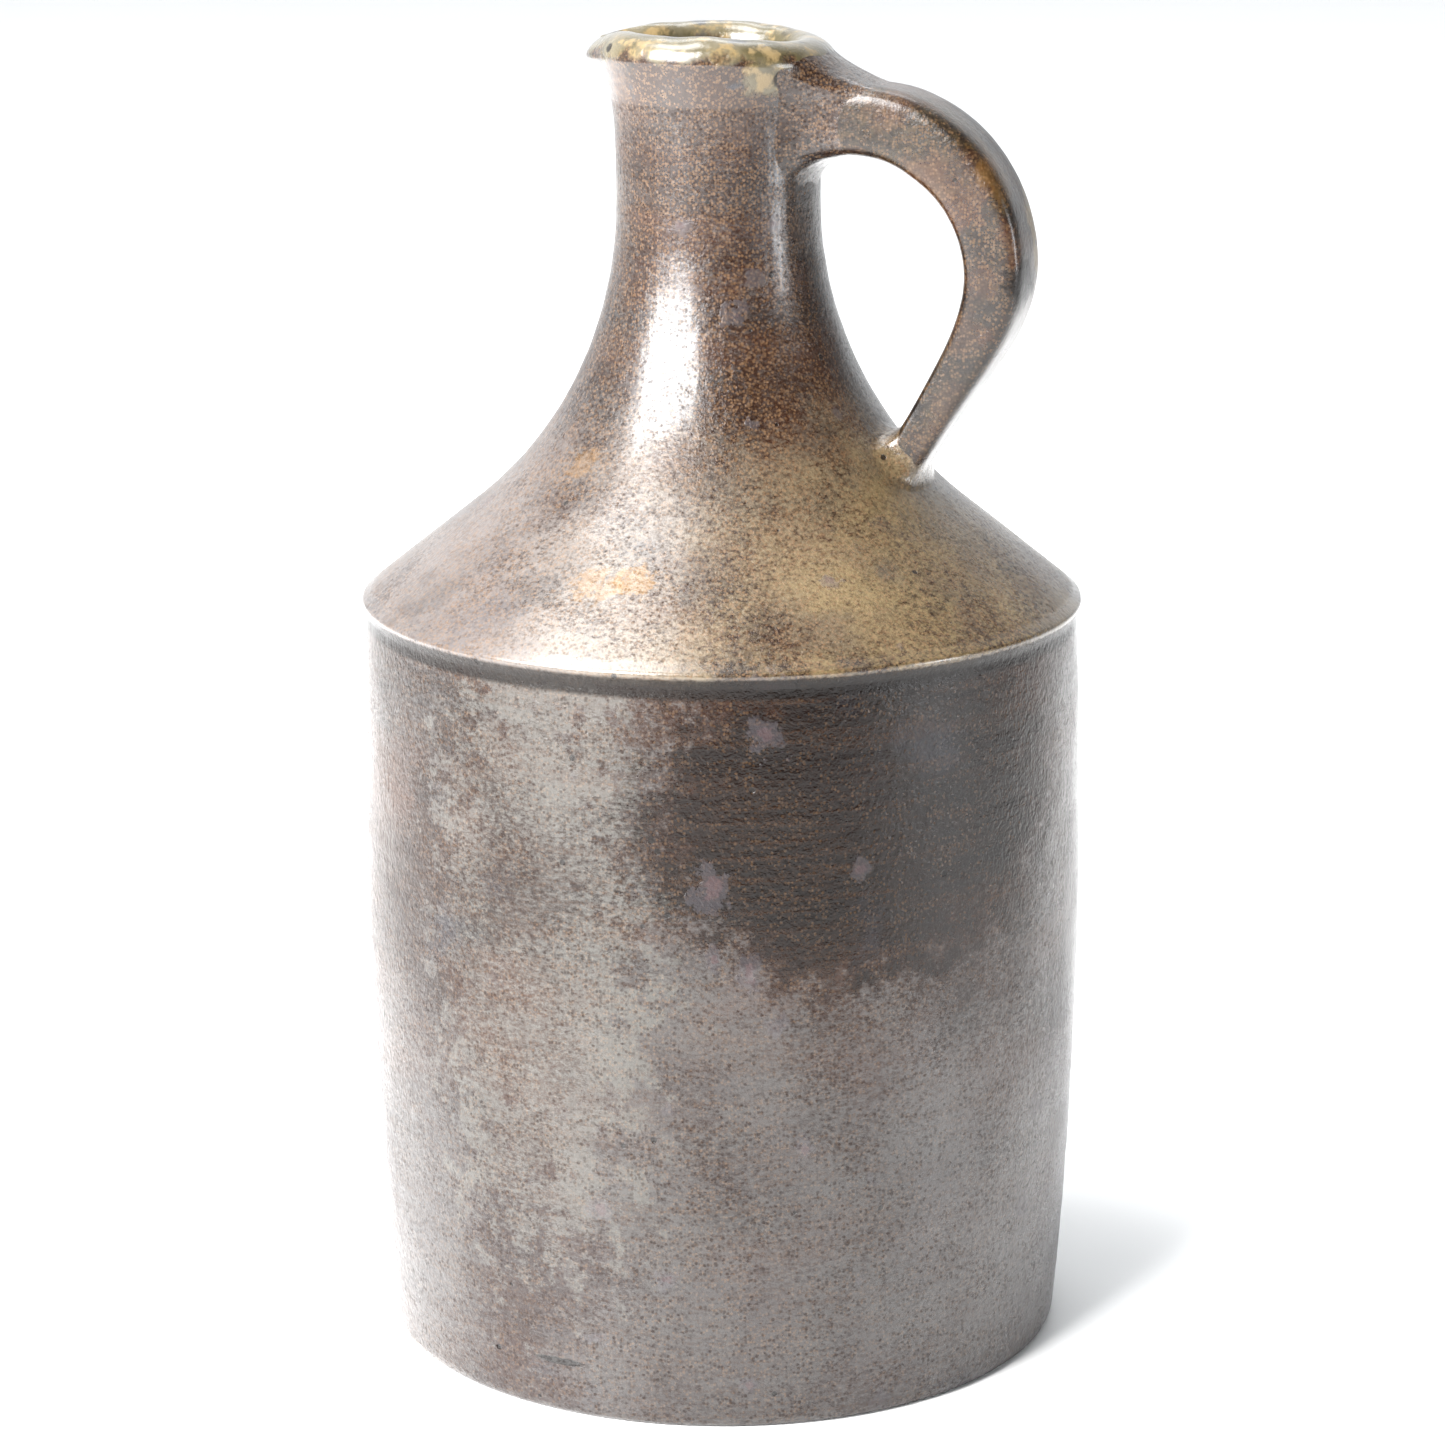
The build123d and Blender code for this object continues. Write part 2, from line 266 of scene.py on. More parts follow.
class Bench:
    """Lays out and joins the nodes of one tree."""

    def __init__(self, tree):
        self.tree = tree

    def set(self, socket, value):
        if isinstance(value, bpy.types.NodeSocket):
            self.tree.links.new(value, socket)
        else:
            socket.default_value = value

    def node(self, kind, inputs=(), **settings):
        made = self.tree.nodes.new(kind)
        for key, value in settings.items():
            setattr(made, key, value)
        for key, value in dict(inputs).items():
            self.set(made.inputs[key], value)
        return made

    def math(self, operation, a, b=0.0, clamp=False):
        made = self.node("ShaderNodeMath", operation=operation, use_clamp=clamp)
        self.set(made.inputs[0], a)
        self.set(made.inputs[1], b)
        return made.outputs[0]

    def times(self, a, b):
        return self.math("MULTIPLY", a, b)

    def weigh(self, total, shares, clamp=False):
        """A total plus a share of each mask, held between 0 and 1 at the end if clamped."""
        for i, (mask, share) in enumerate(shares):
            last = clamp and i == len(shares) - 1
            total = self.math("ADD", total, self.times(mask, share), last)
        return total

    def vector(self, operation, a, b=(0.0, 0.0, 0.0)):
        made = self.node("ShaderNodeVectorMath", operation=operation)
        self.set(made.inputs[0], a)
        self.set(made.inputs[1], b)
        return made.outputs

    def stretch(self, place, factors, offset=(0.0, 0.0, 0.0)):
        made = self.node("ShaderNodeVectorMath", operation="MULTIPLY_ADD")
        self.set(made.inputs[0], place)
        self.set(made.inputs[1], factors)
        self.set(made.inputs[2], offset)
        return made.outputs[0]

    def noise(self, place, scale, detail=3.0, roughness=0.55, distortion=0.0):
        values = {"Vector": place, "Scale": scale, "Detail": detail, "Roughness": roughness}
        values["Distortion"] = distortion
        return self.node("ShaderNodeTexNoise", values).outputs["Fac"]

    def swing(self, place, scale, detail, roughness, height):
        """Noise that swings evenly about nought, to a share of a height."""
        return self.times(self.math("SUBTRACT", self.noise(place, scale, detail, roughness), 0.5), height)

    def cells(self, place, scale):
        values = {"Vector": place, "Scale": scale, "Randomness": 1.0}
        return self.node("ShaderNodeTexVoronoi", values)

    def between(self, value, low, high, start=0.0, end=1.0):
        values = {"Value": value, "From Min": low, "From Max": high, "To Min": start, "To Max": end}
        made = self.node("ShaderNodeMapRange", values, interpolation_type="SMOOTHSTEP")
        return made.outputs["Result"]

    def below(self, value, full, gone):
        return self.between(value, full, gone, 1.0, 0.0)

    def band(self, value, foot, full, fading, gone):
        return self.times(self.between(value, foot, full), self.below(value, fading, gone))

    def mix(self, factor, a, b):
        made = self.node("ShaderNodeMix", data_type="RGBA")
        self.set(made.inputs[0], factor)
        self.set(made.inputs[6], a)
        self.set(made.inputs[7], b)
        return made.outputs[2]


def new_effect(name, inputs, outputs):
    """Starts a shared effect: its tree's bench, its input sockets and its output node."""
    tree = bpy.data.node_groups.new(name, "ShaderNodeTree")
    kinds = {"Place": "NodeSocketVector", "Centre": "NodeSocketVector", "Size": "NodeSocketVector"}
    for label, value in inputs.items():
        socket = tree.interface.new_socket(
            label, in_out="INPUT", socket_type=kinds.get(label, "NodeSocketFloat")
        )
        if value is not None:
            socket.default_value = value
    for label in outputs:
        tree.interface.new_socket(label, in_out="OUTPUT", socket_type="NodeSocketFloat")
    bench = Bench(tree)
    return bench, bench.node("NodeGroupInput").outputs, bench.node("NodeGroupOutput").inputs


GLAZE_DEPTH = 0.150
COAT_ROUGHNESS = 0.25
SHEEN = 0.22


def colour(red, green, blue, depth=GLAZE_DEPTH):
    """A glaze colour as it looks in the bright room, from 0 to 255, as its own reflectance."""
    linear = [depth * ((c / 255 + 0.055) / 1.055) ** 2.4 for c in (red, green, blue)]
    return (*linear, 1.0)


# ---- finishes: effects


CELL_SPREAD = {"Pale": 1.0, "Gap": 0.8}
LUCKY_SHARE = 0.40
BLOTCHES = 210.0
CRYSTAL_DRIFT = 0.0052


def chance_of(bench, cells):
    """Three chances, each the same all over a cell."""
    return bench.node("ShaderNodeSeparateColor", {"Color": cells.outputs["Color"]}).outputs


def make_speckle():
    """Pale grains, dark gaps and soft blotches of iron, coming through the glaze."""
    bench, given, out = new_effect(
        "speckle", {"Place": None, "Grain": 2000.0, "Cover": 0.5}, ("Pale", "Gap", "Dark", "Grainy")
    )
    place = given["Place"]
    clusters = bench.swing(bench.stretch(place, (1.0, 1.0, 1.8)), 120.0, 4.0, 0.7, 1.6)
    local = bench.math("ADD", given["Cover"], clusters)
    warped = bench.noise(place, 2600.0, 2.0, 0.7)
    for label, spread in CELL_SPREAD.items():
        cells = bench.cells(place, bench.times(given["Grain"], spread))
        ragged = bench.math("ADD", cells.outputs["Distance"], bench.times(warped, 0.5))
        dot = bench.below(ragged, 0.50, 0.98)
        luck = bench.math("SUBTRACT", local, chance_of(bench, cells)["Red"])
        bench.set(out[label], bench.times(dot, bench.between(luck, -LUCKY_SHARE, LUCKY_SHARE)))
    bench.set(out["Grainy"], warped)
    spots = bench.cells(bench.stretch(place, (1.0, 1.0, 0.85)), BLOTCHES)
    rough_edge = bench.times(bench.noise(place, 700.0, 3.0), 0.42)
    wide = bench.between(bench.noise(place, 60.0, 2.0), 0.42, 0.70, 0.25, 0.62)
    reach = bench.times(wide, bench.between(chance_of(bench, spots)["Red"], 0.2, 0.9))
    edge = bench.math("SUBTRACT", bench.math("ADD", spots.outputs["Distance"], rough_edge), reach)
    bench.set(out["Dark"], bench.below(edge, -0.14, 0.12))
    return bench.tree


def make_veil():
    """A haze of wood ash that breaks up into grains at its edges."""
    bench, given, out = new_effect(
        "ash veil", {"Place": None, "Reach": 0.5, "Patch": 18.0}, ("Veil",)
    )
    place = given["Place"]
    clouds = bench.noise(bench.stretch(place, (1.0, 1.0, 0.7)), given["Patch"], 4.0, 0.6, 0.3)
    grains = bench.noise(bench.stretch(place, (0.8, 0.8, 1.5)), 1000.0, 3.0, 0.8)
    broken = bench.math("ADD", clouds, bench.times(grains, 0.75))
    threshold = bench.math("SUBTRACT", 1.15, bench.times(given["Reach"], 0.5))
    bench.set(out["Veil"], bench.between(bench.math("SUBTRACT", broken, threshold), -0.16, 0.16))
    return bench.tree


def make_throwing():
    """Fine rings and soft bands that the potter's fingers leave round the pot."""
    bench, given, out = new_effect("throwing rings", {"Place": None}, ("Rings", "Bands"))
    place = given["Place"]
    bench.set(out["Rings"], bench.noise(bench.stretch(place, (0.045, 0.045, 1.0)), 900.0, 3.0, 0.6))
    bench.set(out["Bands"], bench.noise(bench.stretch(place, (0.1, 0.1, 1.0)), 130.0, 3.0))
    return bench.tree


def make_crystals():
    """Sparse star-shaped spots where the glaze has crystallised, with a pinkish heart."""
    bench, given, out = new_effect("crystals", {"Place": None, "Often": 0.5}, ("Spot", "Heart"))
    place = given["Place"]
    ragged = bench.node("ShaderNodeTexNoise", {"Vector": place, "Scale": 420.0, "Detail": 3.0})
    drift = bench.stretch(ragged.outputs["Color"], (CRYSTAL_DRIFT,) * 3)
    cells = bench.cells(bench.vector("ADD", place, drift)["Vector"], 62.0)
    large = bench.between(chance_of(bench, cells)["Red"], 0.35, 1.0, 0.0, 0.26)
    edge = bench.math("SUBTRACT", cells.outputs["Distance"], bench.times(large, given["Often"]))
    bench.set(out["Spot"], bench.below(edge, -0.02, 0.035))
    bench.set(out["Heart"], bench.below(edge, -0.16, -0.06))
    return bench.tree


def make_pits():
    """Orange-peel dimples over the glaze and a few burst bubbles."""
    bench, given, out = new_effect("pits", {"Place": None}, ("Peel", "Pit"))
    bench.set(out["Peel"], bench.noise(given["Place"], 950.0, 3.0, 0.6))
    holes = bench.cells(given["Place"], 240.0)
    size = bench.between(chance_of(bench, holes)["Green"], 0.80, 1.0, 0.0, 0.13)
    edge = bench.math("SUBTRACT", holes.outputs["Distance"], size)
    bench.set(out["Pit"], bench.below(edge, -0.02, 0.02))
    return bench.tree


def make_patch():
    """One ragged patch round a place on the pot."""
    bench, given, out = new_effect(
        "patch",
        {"Place": None, "Centre": None, "Size": (0.01, 0.01, 0.01), "Ragged": 0.5},
        ("Patch",),
    )
    away = bench.vector("SUBTRACT", given["Place"], given["Centre"])["Vector"]
    scaled = bench.vector("DIVIDE", away, given["Size"])["Vector"]
    length = bench.vector("LENGTH", scaled)["Value"]
    torn = bench.times(bench.swing(given["Place"], 260.0, 4.0, 0.7, given["Ragged"]), 4.0)
    distance = bench.math("ADD", length, torn)
    bench.set(out["Patch"], bench.below(distance, 0.7, 1.15))
    return bench.tree


EFFECTS = {
    "speckle": make_speckle(),
    "veil": make_veil(),
    "throwing": make_throwing(),
    "crystals": make_crystals(),
    "pits": make_pits(),
    "patch": make_patch(),
}


class Finish(Bench):
    """One material: its shader, its place on the pot and the shared effects it uses."""

    def __init__(self, name):
        self.material = bpy.data.materials.new(name)
        self.material.use_nodes = True
        super().__init__(self.material.node_tree)
        self.shader = self.tree.nodes["Principled BSDF"]
        self.place = self.node("ShaderNodeTexCoord").outputs["Object"]
        split = self.node("ShaderNodeSeparateXYZ", {"Vector": self.place})
        self.x, self.y, self.z = split.outputs[:3]

    def effect(self, name, **values):
        made = self.node("ShaderNodeGroup", node_tree=EFFECTS[name])
        self.set(made.inputs["Place"], self.place)
        for key, value in values.items():
            self.set(made.inputs[key.capitalize()], value)
        return made.outputs

    def clouds(self, scale, detail, low, high, start=0.0, end=1.0, roughness=0.55):
        """Soft clouds over the whole pot, between two values."""
        return self.between(self.noise(self.place, scale, detail, roughness), low, high, start, end)

    def tint(self, base, mask, strength, shade):
        """Lays a colour over the base where a mask says, at a strength."""
        return self.mix(self.times(mask, strength), base, shade)

    def patch(self, centre, size, ragged=0.5):
        return self.effect("patch", centre=centre, size=size, ragged=ragged)["Patch"]

    def around(self, turn, radius, z, across, up, ragged=0.5):
        """A patch on the wall, by its turn in degrees from the handle, radius and height."""
        angle = math.radians(turn)
        centre = (radius * math.cos(angle), radius * math.sin(angle), z)
        return self.patch(centre, (across, across, up), ragged)

    def relief(self, heights):
        """Joins (height, depth in metres) pairs into one bump."""
        total = 0.0
        for value, depth in heights:
            total = self.math("ADD", total, self.times(value, depth))
        made = self.node("ShaderNodeBump", {"Height": total, "Distance": 1.0, "Strength": 1.0})
        self.set(self.shader.inputs["Normal"], made.outputs["Normal"])

    def finish(self, base, rough, coat=0.5):
        values = {"Base Color": base, "Roughness": rough, "Specular IOR Level": SHEEN}
        values.update({"Coat Weight": coat, "Coat Roughness": COAT_ROUGHNESS})
        for key, value in values.items():
            self.set(self.shader.inputs[key], value)
        return self.material


# ---- finishes: the glazes

DARK_BROWN = colour(70, 42, 27)
BLACK_BROWN = colour(34, 23, 18)
RED_BROWN = colour(112, 68, 42)
RUST = colour(112, 74, 44)
TAN = colour(194, 150, 108, 0.22)
OCHRE = colour(206, 150, 70, 0.20)
KHAKI = colour(186, 160, 112, 0.33)
# Ash beige of the shoulder's window side, made pale as a painted reflection
SHEEN_BEIGE = colour(196, 184, 178, 0.24)
OLIVE = colour(152, 138, 92, 0.16)
CREAM = colour(190, 176, 140, 0.18)
ASH_GREY = colour(146, 140, 136)
# Pale grey that stands for the window light's reflection on the barrel
PALE_SHEEN_ASH = colour(178, 175, 163, 0.17)
MAUVE_BROWN = colour(118, 106, 106)
SLATE = colour(98, 100, 112)
MAUVE = colour(150, 142, 150)
PINK = colour(158, 122, 124)
RAW_CLAY = colour(176, 140, 112, 0.4)

# Turn from the handle, radius, height, half width and half height of each large crystal
CRYSTALS = (
    (-64.9, 0.0621, 0.1290, 0.0042, 0.0038),
    (-65.6, 0.0624, 0.1219, 0.0034, 0.0036),
    (-73.5, 0.0632, 0.0962, 0.0040, 0.0044),
    (-67.9, 0.0634, 0.0816, 0.0028, 0.0040),
    (-73.1, 0.0634, 0.0843, 0.0016, 0.0022),
    (-51.0, 0.0630, 0.0983, 0.0026, 0.0018),
    (-59.4, 0.0632, 0.0507, 0.0024, 0.0024),
    (-91.0, 0.0629, 0.0392, 0.0022, 0.0026),
    (-80.8, 0.0625, 0.0276, 0.0024, 0.0022),
    (-92.3, 0.0620, 0.0153, 0.0022, 0.0016),
    (-67.6, 0.0610, 0.0082, 0.0018, 0.0014),
    (-50.3, 0.0480, 0.1437, 0.0026, 0.0014),
    (-66.0, 0.0205, 0.1839, 0.0026, 0.0026),
    (-63.1, 0.0300, 0.1669, 0.0030, 0.0020),
    (-95.7, 0.0176, 0.1984, 0.0030, 0.0018),
    (-41.7, 0.0176, 0.1983, 0.0022, 0.0016),
)


# Turn, height, half width and half height of the slit and the pinhole left in the foot's joint
CUTS = ((-99.0, 0.0098, 0.0044, 0.0006), (-111.0, 0.0094, 0.0007, 0.0005))
CUT_RADIUS = 0.0613
CUT_DEPTH = 0.0009

NECK_FADE = (0.142, 0.178)
BARREL_FADE = (0.1290, 0.1315)
LOW_FADE = (0.010, 0.095)
EAST_FADE = (-0.030, 0.040)
# Heights of the painted shadow under the ledge's overhang
LEDGE_SHADOW_BAND = (0.1272, 0.1282, 0.1308, 0.1316)
LEDGE_EDGE = (0.1308, 0.1316, 0.1330, 0.1340)
# Centre, half size and raggedness of the painted shade on the barrel's side that faces the dark room
PAINTED_SHADE_PLACE = ((0.0405, -0.0483, 0.1080), (0.038, 0.046, 0.031), 0.3)
# Centre, half size and raggedness of the painted reflection of the window light on the barrel, laid over
# real ash
SHEEN_HAZE_PLACE = ((-0.0130, -0.0610, 0.0850), (0.022, 0.022, 0.060), 0.7)
GRAIN = 2000.0
PIT_DEPTH = 0.00015


def brown_base(f, tone):
    """Dark and reddish iron brown in soft clouds."""
    return f.mix(f.between(tone, 0.32, 0.62), RED_BROWN, DARK_BROWN)


def iron_marks(f, base, grains, skin):
    """Dark iron blotches and burst bubbles over a base."""
    base = f.tint(base, grains["Dark"], 0.8, BLACK_BROWN)
    return f.tint(base, skin["Pit"], 0.85, BLACK_BROWN)


def ash_glaze(name, crystals=(), patches=()):
    """Iron-brown ash glaze over a speckled body; every thrown piece wears the same coat."""
    f = Finish(name)
    height = f.math("ADD", f.z, f.swing(f.place, 26.0, 4.0, 0.6, 0.06))
    neck = f.between(height, *NECK_FADE)
    on_barrel = f.below(f.z, *BARREL_FADE)
    slope = f.math("SUBTRACT", f.math("SUBTRACT", 1.0, on_barrel), neck, True)
    low = f.below(height, *LOW_FADE)
    # Painted shade: the barrel's side that faces the dark room; it darkens the colour, thins the speckle
    # and ash, and lowers roughness and coat
    shade = f.times(f.patch(*PAINTED_SHADE_PLACE), on_barrel)
    # Painted reflection: the window light's sheen on the barrel's left, given as a wider ash veil and
    # pale grey
    haze = f.times(f.patch(*SHEEN_HAZE_PLACE), on_barrel)

    cover = f.weigh(0.28, ((neck, 0.32), (slope, 0.22), (shade, -0.14)))
    grains = f.effect("speckle", grain=GRAIN, cover=cover)
    reach = f.weigh(
        0.42, ((slope, 0.30), (low, 0.15), (haze, 0.24), (neck, -0.14), (shade, -0.42))
    )
    cloud = f.effect("veil", reach=reach)["Veil"]
    rings = f.effect("throwing")
    stars = f.effect("crystals", often=0.55)
    skin = f.effect("pits")

    base = brown_base(f, f.noise(f.place, 42.0, 4.0, 0.6))
    base = f.mix(f.between(rings["Bands"], 0.42, 0.66, 0.0, 0.55), base, BLACK_BROWN)
    # Painted shade: the barrel darkened to black brown where it faces the dark room
    base = f.tint(base, shade, 0.88, BLACK_BROWN)
    base = f.tint(base, low, 0.60, MAUVE_BROWN)
    # Painted reflection: the shoulder's side towards the window is painted pale beige over its ash, and
    # the far side keeps khaki
    ash = f.mix(slope, ASH_GREY, f.mix(f.between(f.x, *EAST_FADE), SHEEN_BEIGE, KHAKI))
    ash = f.mix(f.clouds(70.0, 3.0, 0.4, 0.7, 0.0, 0.5), ash, MAUVE_BROWN)
    # Painted reflection of the window light, in pale grey over the ash
    ash = f.tint(ash, haze, 0.6, PALE_SHEEN_ASH)
    base = f.tint(base, cloud, 0.68, ash)
    slate = f.between(f.noise(f.stretch(f.place, (1, 1, 1), (3, 1, 7)), 55.0, 3.0), 0.60, 0.72)
    base = f.tint(base, slate, 0.35, SLATE)
    grooves = f.times(f.between(rings["Rings"], 0.46, 0.66, 0.0, 0.55), on_barrel)
    base = f.tint(base, grooves, f.between(grains["Grainy"], 0.40, 0.60), RUST)
    base = f.tint(base, grains["Pale"], f.weigh(0.55, ((on_barrel, -0.27),)), TAN)
    base = f.tint(base, grains["Gap"], f.weigh(0.60, ((slope, -0.30),)), DARK_BROWN)
    ragged = f.between(grains["Grainy"], 0.3, 0.55, 0.5, 1.0)
    for patch, patch_colour, strength in patches:
        base = f.tint(base, f.times(f.around(*patch), strength), ragged, patch_colour)
    blotches = f.times(grains["Dark"], f.weigh(0.20, ((slope, 0.12),)))
    base = f.mix(blotches, base, BLACK_BROWN)
    spots, hearts = stars["Spot"], stars["Heart"]
    for turn, radius, z, across, up in crystals:
        spot = f.around(turn, radius, z, across * 0.85, up * 0.85, 1.3)
        heart = f.around(turn, radius, z, across * 0.35, up * 0.35, 1.3)
        spots, hearts = f.math("MAXIMUM", spots, spot), f.math("MAXIMUM", hearts, heart)
    base = f.tint(base, spots, 0.34, MAUVE)
    base = f.tint(base, hearts, 0.4, PINK)
    base = f.tint(base, skin["Pit"], 0.85, BLACK_BROWN)
    # Painted shadow: a black-brown line under the ledge's overhang, with no coat
    under = f.band(f.z, *LEDGE_SHADOW_BAND)
    base = f.tint(base, under, 0.85, BLACK_BROWN)
    cuts = 0.0
    for turn, z, across, up in CUTS:
        cuts = f.math("MAXIMUM", cuts, f.around(turn, CUT_RADIUS, z, across, up, 0.06))
    # Painted shade: the slit and the pinhole painted near black inside
    base = f.tint(base, cuts, 0.9, BLACK_BROWN)

    ledge = f.band(f.z, *LEDGE_EDGE)
    rough = f.clouds(45.0, 3.0, 0.3, 0.7, 0.17, 0.29)
    rough = f.weigh(rough, ((cloud, 0.10), (spots, 0.12), (ledge, -0.10), (shade, -0.10)), True)
    coat = f.weigh(0.14, ((cloud, 0.45), (neck, 0.50), (ledge, 0.6), (slope, 0.15)))
    coat = f.weigh(coat, ((grains["Gap"], -0.5), (under, -0.6), (shade, -0.25)), True)
    f.relief(
        (
            (rings["Rings"], 0.00005),
            (rings["Bands"], 0.00012),
            (skin["Peel"], 0.00021),
            (f.noise(f.place, 420.0, 2.0), 0.00012),
            (skin["Pit"], -PIT_DEPTH),
            (grains["Grainy"], 0.00009),
            (spots, 0.00005),
            (cuts, -CUT_DEPTH),
        )
    )
    return f.finish(base, rough, coat)


def crystals_between(low, high):
    """The large crystals whose heights lie between two."""
    return [c for c in CRYSTALS if low <= c[2] < high]


barrel_finish = ash_glaze("barrel glaze", crystals_between(0.0105, 0.1287))
foot_finish = ash_glaze("foot glaze", crystals_between(0.0, 0.0105))
shoulder_finish = ash_glaze(
    "shoulder glaze",
    crystals_between(0.1287, 0.167),
    (
        ((-97, 0.0480, 0.1425, 0.0046, 0.0026, 1.1), OCHRE, 0.55),
        ((-89, 0.0478, 0.1436, 0.0034, 0.0030, 1.1), OCHRE, 0.65),
        ((-118, 0.0330, 0.1600, 0.0030, 0.0036, 1.1), OCHRE, 0.30),
        ((-28, 0.0629, 0.1295, 0.0030, 0.0016, 0.4), BLACK_BROWN, 0.9),
    ),
)
neck_finish = ash_glaze("neck glaze", crystals_between(0.167, 0.21))


# Turn, height, half width and half height of the iron spots on the lip
IRON_SPOTS = (
    (-38.8, 0.2225, 0.0018, 0.0018),
    (-66.9, 0.2274, 0.0008, 0.0007),
    (-50.9, 0.2264, 0.0008, 0.0006),
    (-141.0, 0.2270, 0.0010, 0.0008),
    (35.0, 0.2265, 0.0014, 0.0012),
    (120.0, 0.2262, 0.0018, 0.0014),
    (165.0, 0.2250, 0.0010, 0.0010),
)
FIRST_SPOT = (-51.4, 0.0198, 0.2291, 0.0022, 0.0013, 0.35)
ASH_RUN = (-48, 0.0180, 0.2235, 0.0052, 0.0042, 0.35)
ROLL_FADE = (0.2246, 0.2268)
ROLL_FOOT = 0.2235
ROLL_RADIUS, BELOW_ROLL_RADIUS = 0.0201, 0.0188


def lip_glaze():
    """Ash gathered thick on the lip: olive and cream over brown, with iron spots."""
    f = Finish("lip glaze")
    grains = f.effect("speckle", grain=GRAIN, cover=0.60)
    skin = f.effect("pits")
    height = f.math("ADD", f.z, f.swing(f.place, 150.0, 3.0, 0.6, 0.012))
    rolled = f.between(height, *ROLL_FADE)
    olive = f.math("MAXIMUM", rolled, f.around(*ASH_RUN))
    base = brown_base(f, f.noise(f.place, 42.0, 4.0, 0.6))
    base = f.tint(base, grains["Pale"], 0.60, TAN)
    ash = f.mix(f.clouds(110.0, 4.0, 0.40, 0.62, roughness=0.6), OLIVE, CREAM)
    ash = f.mix(f.clouds(240.0, 4.0, 0.52, 0.64, roughness=0.6), ash, KHAKI)
    base = f.tint(base, olive, 0.92, ash)
    blotch = f.between(f.noise(f.stretch(f.place, (1, 1, 1), (5, 2, 1)), 170.0, 3.0), 0.60, 0.68)
    base = f.tint(base, blotch, 0.75, SLATE)
    iron = f.around(*FIRST_SPOT)
    for turn, z, across, up in IRON_SPOTS:
        radius = ROLL_RADIUS if z > ROLL_FOOT else BELOW_ROLL_RADIUS
        iron = f.math("MAXIMUM", iron, f.around(turn, radius, z, across, up, 0.4))
    base = f.tint(base, iron, 0.92, BLACK_BROWN)
    base = iron_marks(f, base, grains, skin)
    f.relief(
        (
            (skin["Peel"], 0.00010),
            (skin["Pit"], -PIT_DEPTH),
            (grains["Grainy"], 0.00004),
            (olive, 0.00025),
        )
    )
    rough = f.clouds(60.0, 3.0, 0.3, 0.7, 0.12, 0.26)
    return f.finish(base, rough, f.weigh(0.8, ((iron, -0.6),)))


# Centre, half size, colour and strength of the patches on the strap
STRAP_PATCHES = (
    ((0.0500, -0.0050, 0.2085), (0.0050, 0.0040, 0.0070), OCHRE, 0.22),
    ((0.0530, 0.0050, 0.1960), (0.0050, 0.0040, 0.0080), KHAKI, 0.5),
    ((0.0400, 0.0040, 0.1640), (0.0040, 0.0040, 0.0060), SLATE, 0.6),
)
STRAP_COVER = 0.46
BLACK_GLOSS = ((0.0555, -0.0040, 0.1890), (0.0045, 0.0070, 0.0050), 0.5)


def strap_glaze():
    """The glaze on the strap: speckled brown, a little ash, and one glossy black patch."""
    f = Finish("strap glaze")
    grains = f.effect("speckle", grain=GRAIN, cover=STRAP_COVER)
    cloud = f.effect("veil", reach=0.42, patch=34.0)["Veil"]
    skin = f.effect("pits")
    pulled = f.noise(f.stretch(f.place, (0.25, 1.0, 0.25)), 300.0, 3.0)
    base = brown_base(f, f.noise(f.place, 60.0, 4.0, 0.6))
    base = f.mix(f.between(pulled, 0.45, 0.7, 0.0, 0.5), base, BLACK_BROWN)
    base = f.mix(f.clouds(110.0, 4.0, 0.44, 0.56, 0.0, 0.85, 0.6), base, BLACK_BROWN)
    base = f.tint(base, cloud, 0.12, KHAKI)
    base = f.tint(base, grains["Pale"], 0.38, TAN)
    for centre, size, patch_colour, strength in STRAP_PATCHES:
        base = f.tint(base, f.patch(centre, size, 0.6), strength, patch_colour)
    black = f.patch(*BLACK_GLOSS)
    base = f.tint(base, black, 0.9, BLACK_BROWN)
    base = iron_marks(f, base, grains, skin)
    f.relief(
        (
            (pulled, 0.00012),
            (skin["Peel"], 0.00015),
            (skin["Pit"], -PIT_DEPTH),
            (grains["Grainy"], 0.00008),
        )
    )
    rough = f.clouds(60.0, 3.0, 0.3, 0.7, 0.20, 0.34)
    return f.finish(base, rough, f.weigh(0.4, ((black, -0.4),)))


def bare_clay(name):
    """Unglazed stoneware, for the inside of the pot."""
    f = Finish(name)
    grains = f.effect("speckle", grain=1100.0, cover=0.5)
    tone = f.noise(f.place, 50.0, 4.0)
    base = f.mix(f.between(tone, 0.3, 0.7), RAW_CLAY, DARK_BROWN)
    base = f.tint(base, grains["Pale"], 0.5, CREAM)
    base = f.tint(base, grains["Dark"], 0.8, BLACK_BROWN)
    f.relief(((grains["Grainy"], 0.00025), (tone, 0.0004)))
    return f.finish(base, f.between(grains["Grainy"], 0.3, 0.7, 0.65, 0.9))


lip_finish = lip_glaze()
strap_finish = strap_glaze()
inner_finish = bare_clay("inner clay")

# ---- thrown sections

INNER_ROW = 0.004
BORE_ROW = 0.002
FLOOR_ROW = 0.0012
WIRE_INSET = 0.004
WIRE_CENTRE = (0.03, 0.05)
WIRE_WAVES = 1500
WIRE_LIFT, WIRE_GROOVE, WIRE_GRAIN = 0.0004, 0.0003, 0.00015


